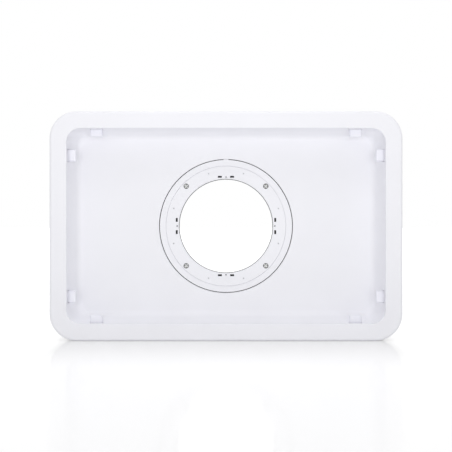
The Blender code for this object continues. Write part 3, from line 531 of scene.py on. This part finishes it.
# ribs on the rear of the floor, from the collar towards the walls
rib = {"height": 4.0, "width": 1.6, "angles": (0, 32, 90, 148, 180, 212, 270, 328), "clear": 7.5,
       "collarSink": 0.6, "floorSink": 0.3, "edge": 0.3, "rounds": (0.05, 0.05, 1.5, 0.3)}
ribRoot, ribBack = pan["back"] + rib["floorSink"], pan["back"] - rib["height"]
ribStart = pan["collar"] - rib["collarSink"]
ribRoom = np.array([opening["x"], opening["z"]]) - rib["clear"]
for angle in np.radians(rib["angles"]):
    way = np.array([np.cos(angle), np.sin(angle)])
    ribEnd = (ribRoom / np.maximum(np.abs(way), 1e-3)).min()
    bar = roundCorners([(ribStart, ribRoot), (ribEnd, ribRoot), (ribEnd, ribBack), (ribStart, ribBack)],
                       rib["rounds"], steps=5, lead=0.05)
    shells.append(oriented(extruded(bar, rib["width"], rib["edge"], steps=3),
                           (0, 0, 0), (*way, 0), (0, 0, 1), (-way[1], way[0], 0)))
addPiece("recessPan", shells, shellPlastic, "housing", ["recess_pan"])
print("pan ready:", len(gap), "window columns")

# Cover clips: bead in the cradle, springy arm and a nose through the window with a fine line on both sides

clip = {"bead": 2.0, "arm": 2.0, "armLength": 18.0, "nose": 3.0, "reach": 7.2, "width": 12.0, "edge": 0.3,
        "rounds": (0, 0.6, 0.9, 0.9, 0.9, 0), "lineAt": 5.5, "lineWidth": 0.3, "lineDepth": 0.6,
        "lineOver": 1.0}
neck = np.arcsin(clip["arm"] / 2 / clip["bead"])
beadTurn = np.linspace(np.pi / 2 + neck, 5 * np.pi / 2 - neck, 33)
bead = clip["bead"] * np.stack([np.cos(beadTurn), np.sin(beadTurn)], -1)
tip, under = cradle["behind"] + clip["reach"], clip["armLength"] - clip["nose"]
hook = roundCorners(
    [bead[-1], (clip["arm"] / 2, under), (tip, under), (tip, clip["armLength"]),
     (-clip["arm"] / 2, clip["armLength"]), bead[0]], clip["rounds"], steps=6, closed=False)
clipOutline = np.concatenate([bead[1:-1], hook])
lineBack, lineFront = clip["armLength"] - clip["lineDepth"], clip["armLength"] + clip["lineOver"]
lineStart, lineEnd = cradle["behind"], tip + clip["lineOver"]
line = [(lineStart, lineBack), (lineEnd, lineBack), (lineEnd, lineFront), (lineStart, lineFront)]
clipShell, lineShell = extruded(clipOutline, clip["width"], clip["edge"]), extruded(line, clip["lineWidth"])
for number, (inward, along) in enumerate(clipPlaces, 1):
    coverClip = addPiece(f"coverClip{number}", [atCradle(clipShell, inward, along)], clipPlastic,
                         f"clip_{number}", [f"cover_clip_{number}"])
    cutAway(coverClip, [atCradle(lineShell, inward, along + side * clip["lineAt"]) for side in (-1, 1)])
print("clips ready")

# Ring screws: sizes and places come first, because the disc, the ring and the plate are bored for them

screws = {"circle": 58.4, "angles": (135, 45, -45, -135), "shank": 1.5, "head": 2.75, "front": 10.7,
          "edge": 0.3, "face": 0.25, "faceDrop": 0.15, "tip": 0.6, "tipChamfer": 0.4, "drive": 1.25,
          "driveDepth": 0.9, "driveFloor": 0.35, "driveLip": 0.12, "lipDrop": 0.06, "lobe": 0.24, "gap": 0.06,
          "discGap": 0.3, "glintFrom": 9.0, "glintReach": 1.25, "glintFade": 0.3, "sharp": 40}
screwTurns = np.radians(screws["angles"])
screwSpots = [(screws["circle"] * np.cos(a), screws["circle"] * np.sin(a)) for a in screwTurns]

# Swivel disc: flush with the floor, with an index key in the seam at the top. Here and below, cut gives the
# levels behind and in front of a piece between which its holes are cut

disc = {"radius": 68.7, "flangeBack": 8.3, "hub": 65.4, "inside": 62.36, "webFront": 8.3, "webBack": 5.2,
        "bore": 50.85, "rounds": (0.2, 0.1, 0.2, 0.15, 0.2, 0.2, 0.3, 0.3), "cut": (4, 9), "keyWidth": 5.0,
        "keyDepth": 0.6, "keyRoot": 1.0, "keyLevels": (8.35, 9.98), "keyRounds": (0.05, 0.05, 0.2, 0.2)}
discLine = roundCorners(
    [(disc["bore"], disc["webFront"]), (disc["inside"], disc["webFront"]), (disc["inside"], pan["floor"]),
     (disc["radius"], pan["floor"]), (disc["radius"], disc["flangeBack"]), (disc["hub"], disc["flangeBack"]),
     (disc["hub"], disc["webBack"]), (disc["bore"], disc["webBack"])], disc["rounds"], steps=5)
swivelDisc = addPiece("swivelDisc", [turned(discLine)], shellPlastic, "ring", ["swivel_disc"])
discHole = screws["shank"] + screws["discGap"]
cutAway(swivelDisc, [bore(discHole, disc["cut"], spot, steps=32) for spot in screwSpots])
keySide = disc["keyWidth"] / 2
key = polarOutline([(-keySide, -disc["keyRoot"]), (keySide, -disc["keyRoot"]), (keySide, disc["keyDepth"]),
                    (-keySide, disc["keyDepth"])], disc["keyRounds"], 0, disc["radius"])
addPiece("indexKey", [prism(key, disc["keyLevels"])], shellPlastic, "ring")

# Bayonet ring: raised ring with slots, pip holes, rivet holes, countersinks and pockets behind for the leaves

bayonet = {"radius": 62.2, "hole": 48.95, "front": 10.8, "back": 8.6, "rounds": (0.4, 0.4, 0.1, 0.2),
           "cut": (7, 12), "slotAt": 51.1, "slotLength": 4.1, "slotWidth": 2.0, "slotSpread": 12.7,
           "slotCorner": 0.35, "pocketInner": 49.55, "pocketOuter": 60.0, "pocketHalf": 23.0, "skinBack": 9.7,
           "rivetAt": 57.3, "rivetAngle": 18.5, "rivetHole": 0.8, "pipAt": 50.65, "pipHole": 0.9}
quarters = np.radians((0, 90, 180, 270))  # the middles of its four sets, clockwise from the top
rivetTurn = np.radians(bayonet["rivetAngle"])


def ringSpot(radius, angle):
    # a place on the ring, clockwise from the top: (r sin a, r cos a)
    return radius * np.sin(angle), radius * np.cos(angle)


bayonetLine = roundCorners(
    [(bayonet["hole"], bayonet["front"]), (bayonet["radius"], bayonet["front"]),
     (bayonet["radius"], bayonet["back"]), (bayonet["hole"], bayonet["back"])], bayonet["rounds"], steps=6)
bayonetRing = addPiece("bayonetRing", [turned(bayonetLine, steps=240)], shellPlastic, "ring",
                       ["bayonet_ring"])
cutLow, cutHigh = bayonet["cut"]
cutAway(bayonetRing, [prism(arcBand(q, bayonet["pocketHalf"], bayonet["pocketInner"], bayonet["pocketOuter"]),
                            (cutLow, bayonet["skinBack"])) for q in quarters])
slotHalf = (bayonet["slotLength"] / 2, bayonet["slotWidth"] / 2)
slotCorners = np.array([(-1, -1), (1, -1), (1, 1), (-1, 1)]) * slotHalf
slotBox = roundCorners(slotCorners, bayonet["slotCorner"], steps=4)
holes = []
for q in quarters:
    turnBack = np.array([(np.cos(q), -np.sin(q)), (np.sin(q), np.cos(q))])
    for side in (-1, 1):
        slotPlace = (side * bayonet["slotSpread"] / 2, bayonet["slotAt"])
        holes.append(prism((slotBox + slotPlace) @ turnBack, bayonet["cut"]))
        rivetPlace = ringSpot(bayonet["rivetAt"], q + side * rivetTurn)
        holes.append(bore(bayonet["rivetHole"], bayonet["cut"], rivetPlace))
    holes.append(bore(bayonet["pipHole"], bayonet["cut"], ringSpot(bayonet["pipAt"], q)))
sunk, sunkShank = screws["head"] + screws["gap"], screws["shank"] + screws["gap"]
brim = screws["front"] - screws["edge"]
sinkLine = [(0, cutHigh), (sunk, cutHigh), (sunk, brim), (sunkShank, brim - sunk + sunkShank),
            (sunkShank, cutLow), (0, cutLow)]
holes += [turned(sinkLine, steps=48, capped=True, centre=spot) for spot in screwSpots]
cutAway(bayonetRing, holes)
print("ring ready")

# Ring screws: rows from the floor of the cross drive over the countersunk head to the tip

screwTurn = np.linspace(0, 2 * np.pi, 64, endpoint=False)
lobes = 1 + screws["lobe"] * np.cos(4 * screwTurn)  # the four arms of the cross
front, head, shank = screws["front"], screws["head"], screws["shank"]
driveBack = front - screws["driveDepth"]
screwRows = [(0, driveBack), (screws["driveFloor"] * lobes, driveBack),
             (screws["drive"] * lobes, front - screws["lipDrop"]),
             (screws["drive"] * lobes + screws["driveLip"], front), (head - screws["face"], front),
             (head, front - screws["faceDrop"]), (head, brim), (shank, brim - head + shank),
             (shank, screws["tip"] + screws["tipChamfer"]), (shank - screws["tipChamfer"], screws["tip"]),
             (0, screws["tip"])]
for number, spot in enumerate(screwSpots, 1):
    screw = addPiece(f"ringScrew{number}", [gridShell(lathed(screwRows, screwTurn, spot), closeRows=False)],
                     screwShadeAndGlint, "ring", [f"ring_screw_{number}"], screws["sharp"])
    # painted highlight: a share for points in the drive near its middle, in front, that brightens their
    # colour
    co = np.zeros(len(screw.data.vertices) * 3, np.float32)
    screw.data.vertices.foreach_get("co", co)
    x, y, z = co.reshape(-1, 3).T / mm
    away = np.hypot(x - spot[0], z - spot[1])
    glintShare = np.clip((screws["drive"] * screws["glintReach"] - away) / screws["glintFade"], 0, 1)
    driveGlint = np.where(-y > screws["glintFrom"], glintShare, 0)
    screw.data.attributes.new("driveGlint", "FLOAT", "POINT").data.foreach_set("value", driveGlint.astype(np.float32))

# Pips and rivets

pip = {"radius": 0.8, "foot": 9.62, "crown": 11.3, "rounds": (0, 0.1, 0.45, 0)}
rivet = {"radius": 0.7, "front": 10.78, "headFront": 9.0, "headRadius": 1.4, "headBack": 8.6,
         "rounds": (0, 0.15, 0.1, 0.05, 0.2, 0)}
pipLine = roundCorners(
    [(0, pip["foot"]), (pip["radius"], pip["foot"]), (pip["radius"], pip["crown"]), (0, pip["crown"])],
    pip["rounds"], steps=5, lead=0.02, closed=False)
rivetLine = roundCorners(
    [(0, rivet["headBack"]), (rivet["headRadius"], rivet["headBack"]),
     (rivet["headRadius"], rivet["headFront"]), (rivet["radius"], rivet["headFront"]),
     (rivet["radius"], rivet["front"]), (0, rivet["front"])],
    rivet["rounds"], steps=4, lead=0.02, closed=False)
for quarter, q in enumerate(quarters, 1):
    pipShell = turned(pipLine, steps=32, capped=True, centre=ringSpot(bayonet["pipAt"], q))
    addPiece(f"detentPip{quarter}", [pipShell], greyPlastic, f"pip_{quarter}", [f"detent_pip_{quarter}"])
    for number, side in ((2 * quarter - 1, -1), (2 * quarter, 1)):
        spot = ringSpot(bayonet["rivetAt"], q + side * rivetTurn)
        rivetShell = turned(rivetLine, steps=32, capped=True, centre=spot)
        addPiece(f"leafRivet{number}", [rivetShell], palePlastic, "ring", [f"leaf_rivet_{number}"])
print("ring screws, pips and rivets ready")

# Spring leaves: a plate behind the slots and an arm to each rivet

leaf = {"front": 9.6, "back": 9.2, "width": 2.6, "plate": 18.4, "eye": 2.1, "hole": 0.9, "cut": (8, 11),
        "bendFrom": 14.0, "bendTo": 1.0}
eyeSpot = np.array(ringSpot(bayonet["rivetAt"], rivetTurn))
plateMiddle = np.array([0, bayonet["slotAt"]])
plateEnd = plateMiddle + (leaf["plate"] / 2, 0)
armWay = (eyeSpot - plateEnd) / np.linalg.norm(eyeSpot - plateEnd)
armAcross = np.array([-armWay[1], armWay[0]])
# stations along the plate, the arm and its round end: their middles, ways across and half widths. The round
# end has the half width eye*cos f at eye*sin f past the eye
plate, arm = np.linspace(0, 1, 19)[:-1, None], np.linspace(0, 1, 11)[:-1, None]
f = np.linspace(0, np.pi / 2, 9)[:, None]
middles = np.concatenate([plateMiddle + plate * (plateEnd - plateMiddle),
                          plateEnd + arm * (eyeSpot - plateEnd), eyeSpot + leaf["eye"] * np.sin(f) * armWay])
ways = np.concatenate([0 * plate + (0, 1), (1 - arm) * (0, 1) + arm * armAcross, 0 * f + armAcross])
halves = np.concatenate([0 * plate + leaf["width"] / 2, (1 - arm) * leaf["width"] / 2 + arm * leaf["eye"],
                         leaf["eye"] * np.cos(f)])
left, right = middles + ways * halves, middles - ways * halves
corners = np.stack([left, right, right, left], 1)
levels = np.array([leaf["front"], leaf["front"], leaf["back"], leaf["back"]])[:, None]
levels = np.broadcast_to(levels, (*corners.shape[:2], 1))
halfLeaf = gridShell(np.concatenate([corners, levels], -1), closeRows=False, capped=True)
rivetBore = bore(leaf["hole"], leaf["cut"], eyeSpot)
for quarter, q in enumerate(quarters, 1):
    radial = np.array([np.sin(q), np.cos(q), 0])
    for side, hand in (("Left", -1), ("Right", 1)):
        tangent = hand * np.array([np.cos(q), -np.sin(q), 0])
        placed = [oriented(shell, (0, 0, 0), tangent, radial, (0, 0, 1)) for shell in (halfLeaf, rivetBore)]
        # their near-black is painted shade where the leaves show through the slots
        piece = addPiece(f"detentLeaf{quarter}{side}", placed[:1], slotShadeSpringSteel)
        cutAway(piece, placed[1:])
        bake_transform(piece)
        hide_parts(f"detent_leaf_{quarter}")
print("leaves ready")

# Glide washer under the disc's flange, with a thin black lip that stands up in the seam as painted shadow

washer = {"inside": 65.8, "radius": 69.2, "front": 8.0, "back": 7.5, "edge": 0.1, "lip": 68.82,
          "lipFront": 9.4}
washerLine = roundCorners(
    [(washer["inside"], washer["front"]), (washer["lip"], washer["front"]),
     (washer["lip"], washer["lipFront"]), (washer["radius"], washer["lipFront"]),
     (washer["radius"], washer["back"]), (washer["inside"], washer["back"])],
    washer["edge"], steps=4, lead=0.02)
addPiece("glideWasher", [turned(washerLine)], seamShadeBlack, "ring", ["glide_washer"])

# Clamp plate behind the disc, with arc slots for the screws of a ceiling box

clamp = {"inside": 48.75, "radius": 70.8, "front": 4.9, "back": 3.3, "edge": 0.25, "cut": (2, 6),
         "slotAt": 57.85, "slotWidth": 4.5, "slotHalf": 14.0, "hole": 1.8}
clampLine = roundCorners(
    [(clamp["inside"], clamp["front"]), (clamp["radius"], clamp["front"]), (clamp["radius"], clamp["back"]),
     (clamp["inside"], clamp["back"])], clamp["edge"], steps=4, lead=0.05)
# its darkened zinc is painted shade for the line round the hole
clampPlate = addPiece("clampPlate", [turned(clampLine)], shadeLineSteel, "ring", ["clamp_plate"])
slotInner, slotOuter = [clamp["slotAt"] + side * clamp["slotWidth"] / 2 for side in (-1, 1)]
holes = [prism(arcBand(q, clamp["slotHalf"], slotInner, slotOuter, roundEnds=True), clamp["cut"])
         for q in quarters]
holes += [bore(clamp["hole"], clamp["cut"], spot, steps=32) for spot in screwSpots]
cutAway(clampPlate, holes)

# Ring nuts: six sides, both faces chamfered

nut = {"flats": 5.5, "bore": 1.8, "front": 3.0, "back": 0.6, "face": 2.55, "slope": 0.577}
hexTurn = np.linspace(0, 2 * np.pi, 72, endpoint=False)


def hexagon(flats):
    # distance to the side: flats/2 / cos(angle from the middle of the side)
    return flats / 2 / np.cos(hexTurn % (np.pi / 3) - np.pi / 6)


nutSides = hexagon(nut["flats"])
nutChamfer = (nutSides - nut["face"]) * nut["slope"]
nutRows = [(nut["bore"], nut["back"]), (nut["face"], nut["back"]), (nutSides, nut["back"] + nutChamfer),
           (nutSides, nut["front"] - nutChamfer), (nut["face"], nut["front"]), (nut["bore"], nut["front"])]
for number, (spot, angle) in enumerate(zip(screwSpots, screwTurns), 1):
    addPiece(f"ringNut{number}", [gridShell(lathed(nutRows, hexTurn, spot, angle))], zincSteel, "ring",
             [f"ring_nut_{number}"])

# Bezel screws: cylinder heads with a hexagon socket, put in from behind

bolt = {"tip": 33.0, "shank": 1.5, "chamfer": 0.4, "head": 2.8, "headFront": 25.7, "headBack": 23.7,
        "edge": 0.3, "socket": 2.2, "socketDepth": 1.0}
socket, socketEnd = hexagon(bolt["socket"]), bolt["headBack"] + bolt["socketDepth"]
boltRows = [(0, socketEnd), (socket, socketEnd), (socket, bolt["headBack"]),
            (bolt["head"] - bolt["edge"], bolt["headBack"]), (bolt["head"], bolt["headBack"] + bolt["edge"]),
            (bolt["head"], bolt["headFront"]), (bolt["shank"], bolt["headFront"]),
            (bolt["shank"], bolt["tip"] - bolt["chamfer"]), (bolt["shank"] - bolt["chamfer"], bolt["tip"]),
            (0, bolt["tip"])]
for number, spot in enumerate(bossSpots, 1):
    addPiece(f"bezelScrew{number}", [gridShell(lathed(boltRows, hexTurn, spot), closeRows=False)], zincSteel,
             "housing", [f"bezel_screw_{number}"])
print("washer, plate, nuts and screws ready")

# Camera: straight on, at the height of the opening's centre

view = {"fromRim": 560.0, "widthAtRim": 448.87}
camera = bpy.data.objects.new("camera", bpy.data.cameras.new("camera"))
camera.data.lens = camera.data.sensor_width * view["fromRim"] / view["widthAtRim"]
camera.data.clip_start, camera.data.clip_end = 0.01, 100
camera.location = (0, -(view["fromRim"] + bezel["front"]) * mm, 0)
camera.rotation_euler = (np.pi / 2, 0, 0)
scene.collection.objects.link(camera)
scene.camera = camera


# Stage: glossy white table and a soft white surround

def seenDirectly(tree):
    # 1 for a ray from the camera, from a glossy surface or through glass, 0 for one that only carries light
    rays = addNode(tree, "ShaderNodeLightPath")
    seen = rays.outputs["Is Camera Ray"]
    for kind in ("Is Glossy Ray", "Is Transmission Ray"):
        larger = addNode(tree, "ShaderNodeMath", {0: seen, 1: rays.outputs[kind]}, operation="MAXIMUM")
        seen = larger.outputs[0]
    return seen


stage = {"gap": 0.05, "half": 30000, "table": "#F0F0F0", "tableSeen": "#BDBDBD", "tableRough": 0.1,
         "bounce": 0.03, "glowNear": 0.28, "glowFar": 0.47, "footHalf": (156.0, 18.0),
         "glowReach": (18.0, 120.0), "ambient": 0.56, "white": 1.0}
tableTop = -(opening["z"] + opening["rimWidth"] + stage["gap"])
tableReach = (stage["half"], stage["half"], tableTop)
tableCorners = np.array([(-1, -1, 1), (1, -1, 1), (1, 1, 1), (-1, 1, 1)]) * tableReach
table = bpy.data.meshes.new("table")
table.from_pydata((tableCorners * mm).tolist(), [], [(0, 1, 2, 3)])
floor = bpy.data.objects.new("table", table)
scene.collection.objects.link(floor)
whiteTable, tree, shader, place = newMaterial("whiteTable")
table.materials.append(whiteTable)
shader.inputs["Roughness"].default_value = stage["tableRough"]
# where it is seen, the table is darker but glows, more with the distance from the object's foot: the weaker
# glow near the foot is a painted shadow round the object, and it lets the mirror image fade
seen = seenDirectly(tree)
shade = addNode(tree, "ShaderNodeMix", {"Factor": seen, "A": hexColour(stage["table"]),
                                        "B": hexColour(stage["tableSeen"])}, data_type="RGBA")
tree.links.new(shade.outputs["Result"], shader.inputs["Base Color"])
# distance from the foot, a box of half size b about c: |max(|p - c| - b, 0) / reach|
footX, footY = (v * mm for v in stage["footHalf"])
perReach = [1 / (v * mm) for v in stage["glowReach"]]
beside = place
for operation, other in (("ADD", (0, footY, 0)), ("ABSOLUTE", (0, 0, 0)), ("SUBTRACT", (footX, footY, 0)),
                         ("MAXIMUM", (0, 0, 0)), ("MULTIPLY", (*perReach, 0))):
    step = addNode(tree, "ShaderNodeVectorMath", {0: beside, 1: other}, operation=operation)
    beside = step.outputs["Vector"]
away = addNode(tree, "ShaderNodeVectorMath", {0: beside}, operation="LENGTH")
# painted shadow: the glow is weakest near the object's foot
footShadowGlow = addNode(tree, "ShaderNodeMapRange", {"Value": away.outputs["Value"], "To Min": stage["glowNear"],
                                            "To Max": stage["glowFar"]}, interpolation_type="SMOOTHSTEP")
strength = addNode(tree, "ShaderNodeMapRange", {"Value": seen, "To Min": stage["bounce"],
                                                "To Max": footShadowGlow.outputs["Result"]})
shader.inputs["Emission Color"].default_value = (1, 1, 1, 1)
tree.links.new(strength.outputs["Result"], shader.inputs["Emission Strength"])

world = bpy.data.worlds.new("surround")
world.use_nodes = True
scene.world = world
tree = world.node_tree
tree.nodes.clear()
light = addNode(tree, "ShaderNodeMapRange", {"Value": seenDirectly(tree), "To Min": stage["ambient"],
                                             "To Max": stage["white"]})
sky = addNode(tree, "ShaderNodeBackground", {"Color": (1, 1, 1, 1), "Strength": light.outputs["Result"]})
addNode(tree, "ShaderNodeOutputWorld", {"Surface": sky.outputs[0]})

# key lamp in front, aimed well above the object so that its light falls off down the front, a weak top lamp,
# and one behind. Sizes and places are in metres, the lean from straight down in degrees
backPlace = (0, 1.2, 0.7)
backLean = -np.degrees(np.arctan2(*backPlace[1:]))  # looks at the origin
lamps = {"key": {"power": 5.45, "size": 0.9, "place": (0, -1.0, 0.1), "lean": 152.0},
         "top": {"power": 3.9, "size": 0.8, "place": (0, -0.25, 1.1), "lean": 0.0},
         "back": {"power": 1.2, "size": 0.6, "place": backPlace, "lean": backLean}}
for name, look in lamps.items():
    lamp = bpy.data.lights.new(name + "Lamp", "AREA")
    lamp.shape, lamp.size, lamp.energy = "SQUARE", look["size"], look["power"]
    softbox = bpy.data.objects.new(name + "Lamp", lamp)
    softbox.location = look["place"]
    softbox.rotation_euler = (np.radians(look["lean"]), 0, 0)
    scene.collection.objects.link(softbox)
print("camera and stage ready")
